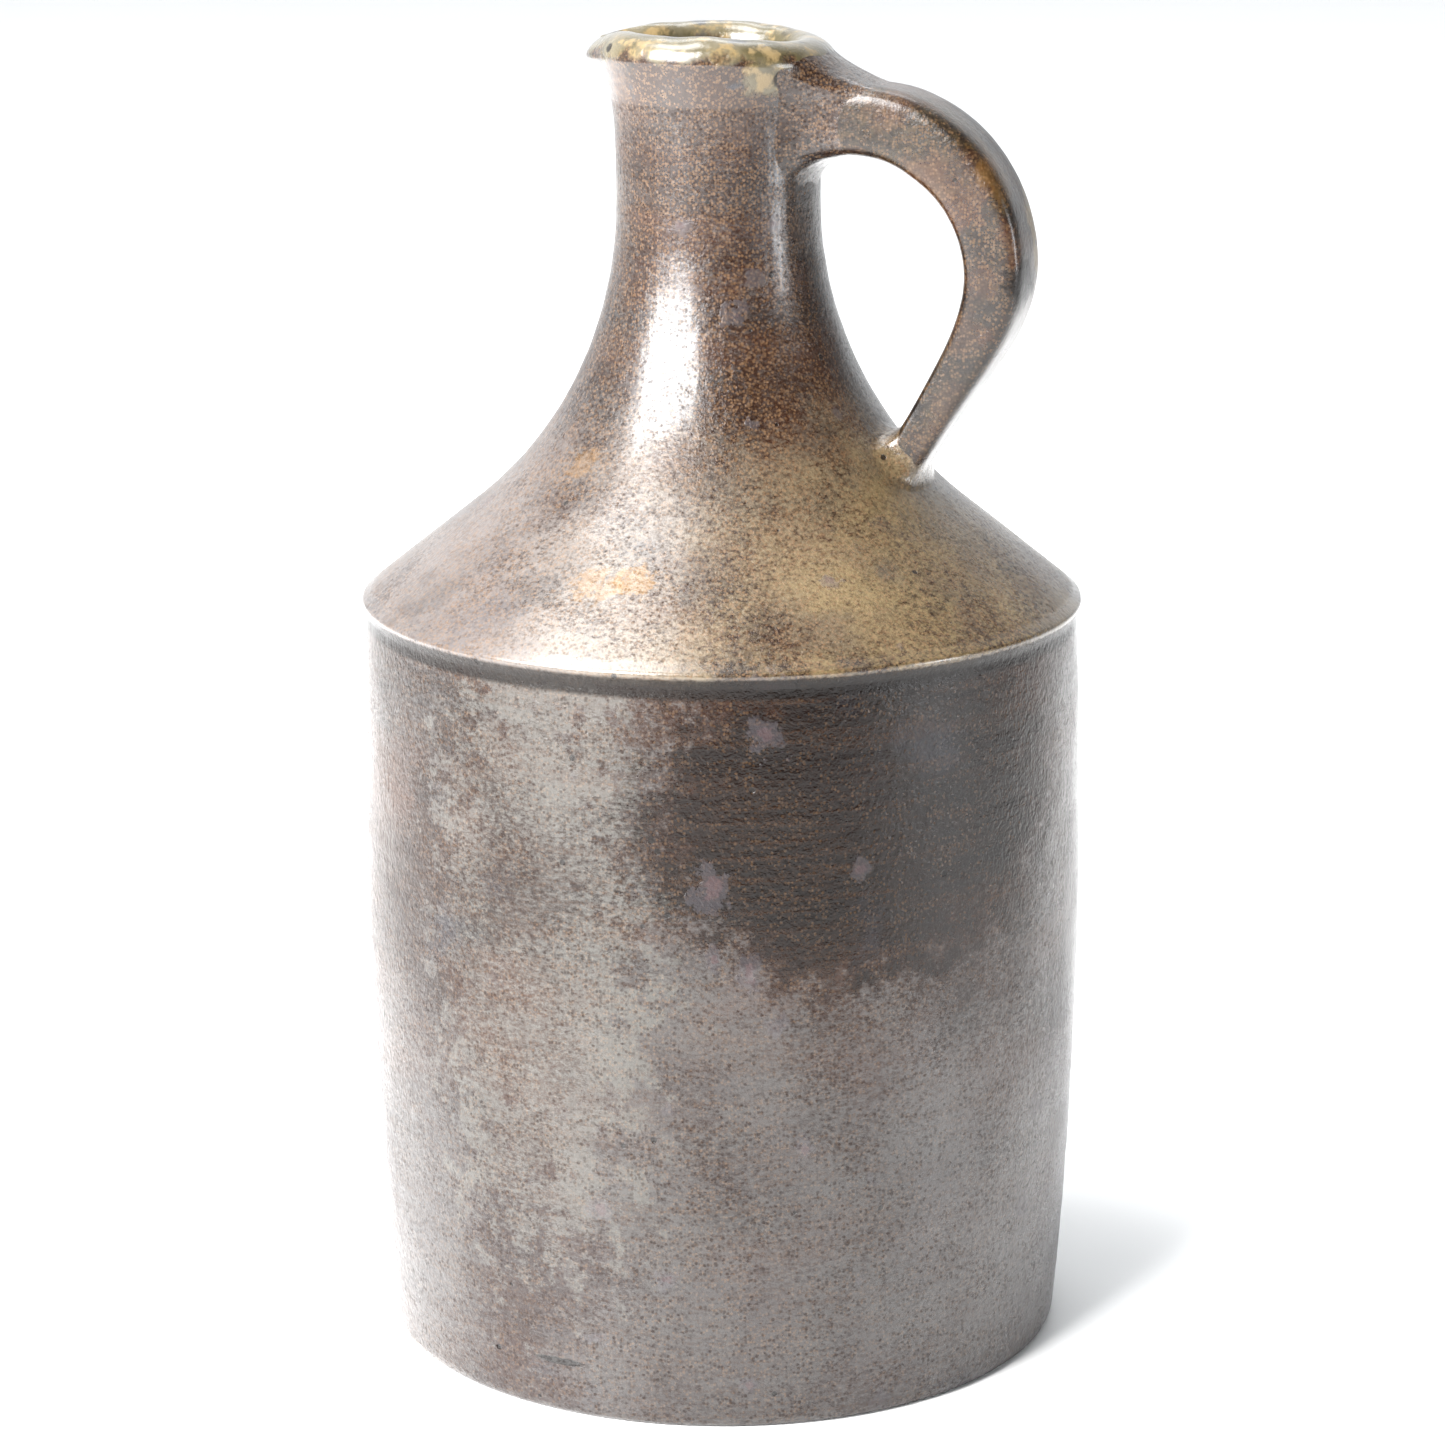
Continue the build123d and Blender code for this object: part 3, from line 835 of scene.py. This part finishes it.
def make_foot():
    """The floor disc: rounded foot, underside with the marks of the cutting wire."""
    outline = [(0.0, 0.0)] + row_of((0.0, 0.0), (FOOT_RADIUS - FOOT_ROUND, 0.0), FLOOR_ROW)[1:]
    outline += roll((FOOT_RADIUS - FOOT_ROUND, FOOT_ROUND), FOOT_ROUND, -90, 0, 8)[:-1]
    outline += side_of_barrel(FOOT_ROUND, FLOOR_TOP, ROW)
    outline += [(barrel_radius(FLOOR_TOP, BARREL_WALL), FLOOR_TOP), (0.03, FLOOR_TOP)]
    bm = spin_outline(outline + [(0.0, FLOOR_TOP)], closed=False)
    throw(bm)
    for v in bm.verts:
        r = math.hypot(v.co.x, v.co.y)
        if v.co.z < NEAR_AXIS and r < FOOT_RADIUS - WIRE_INSET:
            drag = math.dist((v.co.x, v.co.y), WIRE_CENTRE)
            fade = smooth_step(FOOT_RADIUS - WIRE_INSET - r, 0.0, WIRE_INSET)
            shell = 0.5 + 0.5 * math.sin(drag * WIRE_WAVES + 3 * noise.noise(v.co * 40))
            grain = WIRE_GRAIN * noise.noise(v.co * 300)
            v.co.z += fade * (WIRE_LIFT + WIRE_GROOVE * shell + grain)
    return bm


def make_barrel():
    """The thrown barrel, with its seat for the shoulder."""
    outline = side_of_barrel(WALL_BASE, BARREL_TOP, ROW)
    inner_top = BARREL_TOP + SEAT_RISE
    inner = side_of_barrel(inner_top, WALL_BASE, INNER_ROW, BARREL_WALL)
    return spin_outline(outline + inner)


UNDERCUT_STEPS = 6


def make_shoulder():
    """The shoulder, from its ledge up to the seam in the neck."""
    seat_inner = BARREL_TOP_RADIUS - BARREL_WALL
    edge = (LEDGE_RADIUS - LEDGE_ROUND, LEDGE_TOP - LEDGE_ROUND * LEDGE_LIFT)
    outline = []
    for i in range(UNDERCUT_STEPS + 1):
        t = i / UNDERCUT_STEPS
        out = BARREL_TOP_RADIUS + (LEDGE_RADIUS - BARREL_TOP_RADIUS) * t * t * (3 - 2 * t)
        outline.append((out, LEDGE_BASE + (edge[1] - LEDGE_BASE) * t))
    outline += roll(edge, LEDGE_ROUND, 0, 90 - math.degrees(SLOPE), 8)[1:]
    outline += row_of(outline[-1], (CONE_TOP_RADIUS, CONE_TOP))[1:]
    outline += side_of_sweep(SWEEP_TURN, NECK_SEAM_TURN, ROW)
    outline += side_of_sweep(NECK_SEAM_TURN, SWEEP_TURN, INNER_ROW, SHOULDER_WALL)
    skirt = LEDGE_TOP + (LEDGE_RADIUS - seat_inner) * math.tan(SLOPE)
    outline += [
        (seat_inner, skirt - SHOULDER_WALL / math.cos(SLOPE)),
        (seat_inner, LEDGE_BASE + SEAT_RISE),
    ]
    return spin_outline(outline)


def seam_turn(lift, inset=0.0):
    """Turn of the neck seam's plane, lifted, where it meets the outside or the inside."""
    return NECK_SEAM_TURN - math.asin(lift / (SWEEP_RADIUS + inset))


def make_neck():
    """The neck, from its seam up to the lip."""
    outline = side_of_sweep(seam_turn(SLIP), 0.0, ROW)
    outline += row_of((NECK_RADIUS, SWEEP_TOP), (NECK_RADIUS, NECK_TOP))[1:]
    outline += [(NECK_RADIUS, NECK_TOP)]
    outline += row_of((BORE_RADIUS, NECK_TOP), (BORE_RADIUS, SWEEP_TOP), BORE_ROW)
    outline += side_of_sweep(0.0, seam_turn(SLIP, SHOULDER_WALL), BORE_ROW, SHOULDER_WALL)
    return spin_outline(outline)


SLIP_HOLLOW = 0.00001


def make_slip(outer_low, outer_high, inner_high, inner_low):
    """A bed of slip between two sections, a little hollow at the outside."""
    radius, height = ((a + b) / 2 for a, b in zip(outer_low, outer_high))
    hollow = (radius - SLIP_HOLLOW, height)
    return spin_outline([outer_low, hollow, outer_high, inner_high, inner_low])


LIP_OUTER_ROUND = 0.0042
LIP_INNER_ROUND = 0.0032
BEAK_DROP = 0.0020
BEAK_WALL = 0.0034
RIM_SAG = 0.0016
RIM_WAVES, RIM_LUMPS = 0.0003, 0.00035
LIP_STEPS = 400
LIP_ROW = 0.0005
FLARE_STEPS = 15
OUTER_PULL, THROAT_PULL, DROOP = (math.radians(turn) for turn in (19, 17, 34))


def fall_off(angle, width):
    """1 at an angle of nought, falling away like a bell over a width."""
    return math.exp(-((angle / width) ** 2))


def make_lip():
    """The rolled lip, with its beak pulled out and its rim a little low at the handle."""
    crown = (LIP_RADIUS - LIP_OUTER_ROUND, LIP_TOP - LIP_OUTER_ROUND)
    mouth = (BORE_RADIUS + LIP_INNER_ROUND, LIP_TOP - LIP_INNER_ROUND)
    flare = FLARE_TOP - LIP_BASE
    levels = [LIP_BASE + flare * i / FLARE_STEPS for i in range(FLARE_STEPS + 1)]
    outline = [(NECK_RADIUS + swell(z), z) for z in levels]
    outline += row_of((LIP_RADIUS, FLARE_TOP), (LIP_RADIUS, crown[1]), LIP_ROW)[1:]
    outline += roll(crown, LIP_OUTER_ROUND, 0, 90, 14)
    outline += roll(mouth, LIP_INNER_ROUND, 90, 180, 12)
    outline += row_of((BORE_RADIUS, mouth[1]), (BORE_RADIUS, LIP_BASE), LIP_ROW)[1:]
    outline += [(BORE_RADIUS, LIP_BASE)]
    bm = spin_outline(outline, LIP_STEPS)
    height = LIP_TOP - LIP_BASE
    for v in bm.verts:
        x, y, z = v.co
        r = math.hypot(x, y)
        up = (z - LIP_BASE) / height
        off = abs(math.atan2(y, -x))
        inside = 1 - smooth_step(r, BORE_RADIUS + 0.001, NECK_RADIUS)
        outer_pull = fall_off(off, OUTER_PULL) * smooth_step(up, 0.0, 0.75)
        throat_pull = fall_off(off, THROAT_PULL) * smooth_step(up, -0.05, 0.9)
        push = (BEAK_TIP - 0.0006 - LIP_RADIUS) * outer_pull * (1 - inside)
        push += (BEAK_TIP - BEAK_WALL - 0.001 - BORE_RADIUS) * throat_pull * inside
        v.co.x, v.co.y = x * (r + push) / r, y * (r + push) / r
        pulled = smooth_step(-v.co.x, 0.012, BEAK_TIP)
        droop = BEAK_DROP * pulled * fall_off(off, DROOP)
        sag = RIM_SAG * smooth_step(x, 0.002, 0.02)
        uneven = RIM_WAVES * noise.noise(Vector((x * 60, y * 60, 4.0)))
        lumps = RIM_LUMPS * noise.noise(Vector((x * 190, y * 190, z * 190)))
        v.co.z -= smooth_step(up, 0.25, 1.0) * (droop + sag + uneven + max(0.0, lumps))
    return bm


# ---- strap and clay

BURY = 0.006
STRAP_STAND = 0.003
ROOT_HEIGHT = LIP_BASE - 0.0033
TAIL_RADIUS = 0.0336
TAIL_LEAN = math.radians(15.0)
STRAP_REACH = 0.0318
BEND_ROUNDS = 60
ROUTE_STEP = 0.0004
STRAP_ROW = 0.0005
STRAP_ROUND = 112
SQUARENESS = 5.2
# Share of the strap's length, thickness and width
STRAP_SECTIONS = (
    (0.0, 0.0120, 0.0170),
    (0.28, 0.0122, 0.0166),
    (0.54, 0.0106, 0.0160),
    (0.82, 0.0074, 0.0146),
    (1.0, 0.0066, 0.0140),
)


def strap_route():
    """Points close together along the strap's middle line, in the handle's plane.

    A complex number holds a place in that plane: its distance from the axis and its height.
    """
    tail_height = SWEEP_TOP - math.sqrt(SWEEP_RADIUS**2 - (SWEEP_CENTRE - TAIL_RADIUS) ** 2)
    drop = ROOT_HEIGHT - tail_height
    down = math.atan2(SWEEP_TOP - tail_height, SWEEP_CENTRE - TAIL_RADIUS) + TAIL_LEAN
    into_wall = complex(-math.cos(down), -math.sin(down))
    marks = [
        complex(NECK_RADIUS - BURY, ROOT_HEIGHT),
        complex(NECK_RADIUS + 0.40 * STRAP_REACH, ROOT_HEIGHT + 0.0002),
        complex(NECK_RADIUS + 0.88 * STRAP_REACH, ROOT_HEIGHT - 0.19 * drop),
        complex(NECK_RADIUS + STRAP_REACH, ROOT_HEIGHT - 0.45 * drop),
        complex(NECK_RADIUS + 0.75 * STRAP_REACH, ROOT_HEIGHT - 0.77 * drop),
        complex(TAIL_RADIUS, tail_height) + BURY * into_wall,
    ]
    spans = [abs(b - a) for a, b in zip(marks, marks[1:])]
    slopes = [1 + 0j] + [0j] * (len(marks) - 2) + [into_wall]
    for _ in range(BEND_ROUNDS):
        for i in range(1, len(marks) - 1):
            before, after = spans[i - 1], spans[i]
            here, there = marks[i] - marks[i - 1], marks[i + 1] - marks[i]
            pull = 3 * (after * here / before + before * there / after)
            known = after * slopes[i - 1] + before * slopes[i + 1]
            slopes[i] = (pull - known) / (2 * (before + after))
    points = []
    for i, span in enumerate(spans):
        steps = round(span / ROUTE_STEP)
        for k in range(steps + (i == len(spans) - 1)):
            t = k / steps
            a, b = 2 * t**3 - 3 * t**2 + 1, t**3 - 2 * t**2 + t
            c, d = -2 * t**3 + 3 * t**2, t**3 - t**2
            p = a * marks[i] + b * span * slopes[i] + c * marks[i + 1] + d * span * slopes[i + 1]
            points.append(Vector((p.real, 0.0, p.imag)))
    return points


ROUTE = strap_route()
ROUTE_LENGTHS = [0.0]
for here, there in zip(ROUTE, ROUTE[1:]):
    ROUTE_LENGTHS.append(ROUTE_LENGTHS[-1] + (there - here).length)
STRAP_LENGTH = ROUTE_LENGTHS[-1]


def route_at(distance):
    """Middle of the strap and its direction at a distance along it."""
    distance = min(max(distance, 0.0), STRAP_LENGTH)
    i = 0
    step = len(ROUTE) // 2
    while step:
        while i + step < len(ROUTE) - 1 and ROUTE_LENGTHS[i + step] <= distance:
            i += step
        step //= 2
    t = (distance - ROUTE_LENGTHS[i]) / (ROUTE_LENGTHS[i + 1] - ROUTE_LENGTHS[i])
    return ROUTE[i].lerp(ROUTE[i + 1], t), (ROUTE[i + 1] - ROUTE[i]).normalized()


def strap_size(share):
    """Thickness and width of the strap at a share of its length."""
    for (start, *small), (end, *large) in zip(STRAP_SECTIONS, STRAP_SECTIONS[1:]):
        if share <= end:
            t = (share - start) / (end - start)
            t = eased(t) * 0.5 + t * 0.5
            return [a + (b - a) * t for a, b in zip(small, large)]
    return STRAP_SECTIONS[-1][1:]


def strap_skin(distance, k, lift=0.0):
    """Point on the strap's skin: k counts round its section, from the outer face."""
    middle, ahead = route_at(distance)
    out = Vector((ahead.z, 0.0, -ahead.x)) * -1.0
    side = Vector((0.0, 1.0, 0.0))
    thick, wide = strap_size(distance / STRAP_LENGTH)
    angle = 2 * math.pi * k / STRAP_ROUND
    c, s = math.cos(angle), math.sin(angle)
    u, v = (math.copysign(abs(n) ** (2 / SQUARENESS), n) for n in (c, s))
    p = middle + out * (u * (thick / 2 + lift)) + side * (v * (wide / 2 + lift))
    pull = noise.noise(Vector((p.x * 22, p.y * 150, p.z * 22)))
    lump = noise.noise(p * 120)
    fine = noise.noise(p * 420)
    away = (p - middle).normalized()
    return p + away * (0.00012 * pull + 0.00016 * lump + 0.00004 * fine - 0.0001)


def loft(rings, closed):
    """Skins rings of points: a tube with flat ends, or a closed loop of rings."""
    bm = bmesh.new()
    first = bmesh.ops.create_circle(bm, segments=len(rings[0]), radius=1.0)["verts"]
    number = {v: k for k, v in enumerate(first)}
    for v, k in number.items():
        v.co = rings[0][k]
    start = edges = list(bm.edges)
    for ring in rings[1:]:
        made = bmesh.ops.extrude_edge_only(bm, edges=edges)["geom"]
        fresh = {g for g in made if isinstance(g, bmesh.types.BMVert)}
        edges = [g for g in made if isinstance(g, bmesh.types.BMEdge) and fresh.issuperset(g.verts)]
        below = {v: e.other_vert(v) for v in fresh for e in v.link_edges if e not in edges}
        number = {v: number[other] for v, other in below.items() if other in number}
        for v, k in number.items():
            v.co = ring[k]
    if closed:
        bmesh.ops.bridge_loops(bm, edges=start + edges)
    else:
        for end in (start, edges):
            bmesh.ops.edgeloop_fill(bm, edges=end)
    return bm


def make_strap():
    """The pulled strap, its ends set into the neck wall and the shoulder wall."""
    low, high = BURY - STRAP_STAND, STRAP_LENGTH - BURY + STRAP_STAND
    count = round((high - low) / STRAP_ROW)
    rings = [
        [strap_skin(low + (high - low) * i / count, k) for k in range(STRAP_ROUND)]
        for i in range(count + 1)
    ]
    return loft(rings, closed=False)


FACING_OUT = 0.15


def outer_skin(sections):
    """The outside of the thrown sections together, to fit the strap's clay to."""
    corners, faces = [], []
    for bm in sections:
        bmesh.ops.recalc_face_normals(bm, faces=bm.faces)
        bm.verts.index_update()
        first = len(corners)
        corners += [v.co.copy() for v in bm.verts]
        for face in bm.faces:
            middle = face.calc_center_median()
            out = Vector((middle.x, middle.y, 0.0)).normalized()
            if face.normal.dot(out) > FACING_OUT:
                faces.append([first + v.index for v in face.verts])
    return BVHTree.FromPolygons(corners, faces)


SEARCH_START, SEARCH_STEP, SEARCH_BACK, SEARCH_OUT = 0.014, 0.0004, 0.008, 0.02
HALVINGS = 8
COLLAR_ROWS = 16
UNEVEN = 0.25
SKIN_SUNK = 0.00006
STRAP_SUNK, WALL_SUNK = 0.0008, 0.0012
WIPE_WAVES, WIPE_DEPTH = 160, 0.0003


def make_collar(skin, wall_distance, away, reach, flare, fill, seed):
    """Clay worked round one end of the strap, feathered onto strap and wall."""
    columns = []
    for k in range(STRAP_ROUND):

        def inside(distance):
            point = strap_skin(distance, k)
            place, out = skin.find_nearest(point)[:2]
            return (point - place).dot(out) < 0

        near = wall_distance + away * SEARCH_START
        while not inside(near) and abs(near - wall_distance) < SEARCH_OUT:
            near -= away * SEARCH_STEP
            if (near - wall_distance) * away < -SEARCH_BACK:
                break
        low, high = near, near + away * SEARCH_STEP
        for _ in range(HALVINGS):
            middle = (low + high) / 2
            low, high = (middle, high) if inside(middle) else (low, middle)
        corner = strap_skin(high, k)
        wall_out = skin.find_nearest(corner)[1]
        outward = corner - route_at(high)[0]
        outward = (outward - wall_out * outward.dot(wall_out)).normalized()
        angle = 2 * math.pi * k / STRAP_ROUND
        swirl = Vector((math.cos(angle) * 1.6, math.sin(angle) * 1.6, seed))
        over, under = max(0.0, math.cos(angle)) ** 2, max(0.0, -math.cos(angle)) ** 2
        shares = (over, 1 - over - under, under)
        reach_here = sum(share * length for share, length in zip(shares, reach))
        flare_here = sum(share * length for share, length in zip(shares, flare))
        reach_here *= 1 + UNEVEN * noise.noise(swirl)
        flare_here *= 1 + UNEVEN * noise.noise(swirl * 1.7 + Vector((5, 0, 0)))
        strap_end = strap_skin(high + away * reach_here, k, -SKIN_SUNK)
        wall_end, wall_up = skin.find_nearest(corner + outward * flare_here)[:2]
        inward = -(strap_end - route_at(high + away * reach_here)[0]).normalized()
        column = [strap_end + inward * STRAP_SUNK]
        bend = corner.lerp((strap_end + wall_end) / 2, fill * over)
        for i in range(COLLAR_ROWS + 1):
            u = i / COLLAR_ROWS
            p = strap_end * (1 - u) ** 2 + bend * (2 * u * (1 - u)) + wall_end * u**2
            bulge = math.sin(math.pi * u)
            wipe = noise.noise(Vector((p.x * WIPE_WAVES, p.y * WIPE_WAVES, p.z * WIPE_WAVES + seed)))
            p = p + (wall_out - inward).normalized() * (WIPE_DEPTH * bulge * wipe)
            column.append(p - wall_up * SKIN_SUNK * u)
        column.append(wall_end - wall_up * WALL_SUNK)
        column.append(corner + inward * WALL_SUNK - wall_out * WALL_SUNK)
        columns.append(column)
    rings = [[column[i] for column in columns] for i in range(len(columns[0]))]
    return loft(rings, closed=True)


# Reach up the strap and flare onto the wall: outer face, sides and inner face
ROOT_REACH, ROOT_FLARE = (0.0165, 0.010, 0.0095), (0.0080, 0.0060, 0.0075)
TAIL_REACH, TAIL_FLARE = (0.0050, 0.0055, 0.0075), (0.0035, 0.0040, 0.0055)
ROOT_FILL, TAIL_FILL = 0.55, 0.0

# ---- putting it up

foot = make_foot()
floor_slip = make_slip(
    (barrel_radius(FLOOR_TOP), FLOOR_TOP),
    (barrel_radius(WALL_BASE), WALL_BASE),
    (barrel_radius(WALL_BASE, BARREL_WALL), WALL_BASE),
    (barrel_radius(FLOOR_TOP, BARREL_WALL), FLOOR_TOP),
)
shoulder_slip = make_slip(
    (BARREL_TOP_RADIUS, BARREL_TOP),
    (BARREL_TOP_RADIUS, LEDGE_BASE),
    (BARREL_TOP_RADIUS - BARREL_WALL, LEDGE_BASE + SEAT_RISE),
    (BARREL_TOP_RADIUS - BARREL_WALL, BARREL_TOP + SEAT_RISE),
)
neck_slip = make_slip(
    sweep_point(NECK_SEAM_TURN),
    sweep_point(seam_turn(SLIP)),
    sweep_point(seam_turn(SLIP, SHOULDER_WALL), SHOULDER_WALL),
    sweep_point(NECK_SEAM_TURN, SHOULDER_WALL),
)
lip_slip = make_slip(
    (NECK_RADIUS, NECK_TOP), (NECK_RADIUS, LIP_BASE), (BORE_RADIUS, LIP_BASE), (BORE_RADIUS, NECK_TOP)
)
barrel, shoulder, neck, lip = make_barrel(), make_shoulder(), make_neck(), make_lip()
for section in (floor_slip, barrel, shoulder_slip, shoulder, neck_slip, neck, lip_slip):
    throw(section)
throw(lip, below_lip=False)

body_skin = outer_skin((shoulder, neck_slip, neck, lip_slip, lip))
root_clay = make_collar(body_skin, BURY, 1, ROOT_REACH, ROOT_FLARE, ROOT_FILL, 1.0)
tail_clay = make_collar(
    body_skin, STRAP_LENGTH - BURY, -1, TAIL_REACH, TAIL_FLARE, TAIL_FILL, 9.0
)

PIECES = (
    ("foot", foot, foot_finish, "floor_disc", "foot_clay"),
    ("foot_slip", floor_slip, foot_finish, "floor_slip", "joint_slip"),
    ("thrown_barrel", barrel, barrel_finish, "barrel", "barrel_glaze"),
    ("ledge_slip", shoulder_slip, barrel_finish, "shoulder_slip", "joint_slip"),
    ("thrown_shoulder", shoulder, shoulder_finish, "shoulder", "shoulder_glaze"),
    ("neck_seam_slip", neck_slip, neck_finish, "neck_slip", "joint_slip"),
    ("thrown_neck", neck, neck_finish, "neck", "neck_glaze"),
    ("lip_seam_slip", lip_slip, neck_finish, "lip_slip", "joint_slip"),
    ("rolled_lip", lip, lip_finish, "lip", "lip_glaze"),
    ("pulled_strap", make_strap(), strap_finish, "handle", "strap_glaze"),
    ("root_clay", root_clay, neck_finish, "handle_root_clay", "worked_clay"),
    ("tail_clay", tail_clay, shoulder_finish, "handle_tail_clay", "worked_clay"),
)
for piece in PIECES:
    finish_mesh(*piece)

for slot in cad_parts["corner_coil"].material_slots:
    slot.material = inner_finish

# ---- floor and light


def pale_paper():
    """Matt white table paper."""
    f = Finish("table paper")
    mottle = f.noise(f.place, 12.0, 3.0)
    base = f.mix(mottle, (0.90, 0.90, 0.89, 1.0), (0.93, 0.93, 0.93, 1.0))
    return f.finish(base, f.between(mottle, 0.3, 0.7, 0.75, 0.85))


FLOOR_RADIUS, FLOOR_DROP = 30.0, 0.0001

paper = bmesh.new()
bmesh.ops.create_circle(paper, cap_ends=True, segments=64, radius=FLOOR_RADIUS)
bmesh.ops.translate(paper, verts=paper.verts, vec=(0, 0, -FLOOR_DROP))
floor = as_object("floor", paper, pale_paper())

MIDDLE = Vector((0.0, 0.0, 0.115))


def soft_light(name, turn, distance, height, size, power, tint=(1.0, 1.0, 1.0)):
    """A rectangular soft light on a circle round the pot, aimed at its middle."""
    light = bpy.data.lights.new(name, "AREA")
    light.shape = "RECTANGLE"
    light.size, light.size_y = size
    light.energy = power
    light.color = tint
    lamp = put_up(name, light)
    angle = math.radians(turn)
    lamp.location = (distance * math.cos(angle), distance * math.sin(angle), height)
    lamp.rotation_euler = (MIDDLE - lamp.location).to_track_quat("-Z", "Y").to_euler()
    lamp.visible_camera = False


soft_light("window light", -121, 1.25, 0.90, (1.05, 0.95), 122.0)
soft_light("side light", -3, 1.2, 0.24, (0.26, 0.42), 7.0, (0.94, 0.97, 1.0))

ceiling = bpy.data.lights.new("ceiling light", "SUN")
ceiling.energy = 0.4
ceiling.angle = math.radians(70)
ceiling_lamp = put_up("ceiling light", ceiling)
ceiling_lamp.rotation_euler = (math.radians(-12), math.radians(-10), 0.0)
soft_light("shoulder light", 200, 0.55, 1.5, (0.7, 0.7), 22.0)
soft_light("back light", 108, 1.2, 1.7, (1.2, 0.6), 9.0, (0.92, 0.96, 1.0))

BRIGHT_SIDE = (-0.940, 0.342, 0.0)
ROOM_WHITE = (0.95, 0.975, 1.0, 1.0)
ROOM_FADE = (-0.60, 0.40)
ROOM_DIM, ROOM_BRIGHT = 0.20, 1.15

scene = bpy.context.scene
world = bpy.data.worlds.new("white room")
world.use_nodes = True
room = Bench(world.node_tree)
seen = room.node("ShaderNodeTexCoord").outputs["Generated"]
facing = room.vector("DOT_PRODUCT", seen, BRIGHT_SIDE)["Value"]
wall = world.node_tree.nodes["Background"].inputs
room.set(wall["Color"], ROOM_WHITE)
room.set(wall["Strength"], room.between(facing, *ROOM_FADE, ROOM_DIM, ROOM_BRIGHT))
scene.world = world
scene.view_settings.view_transform = "Standard"

# ---- camera

LOOK_DOWN, LOOK_ROUND = math.radians(14.455), math.radians(18.0)

camera_data = bpy.data.cameras.new("camera")
camera_data.lens = 103.28
camera_data.sensor_width = 36.0
camera = put_up("camera", camera_data)
camera.location = (0.2196, -0.6757, 0.2912)
camera.rotation_euler = (math.pi / 2 - LOOK_DOWN, 0.0, LOOK_ROUND)
scene.camera = camera
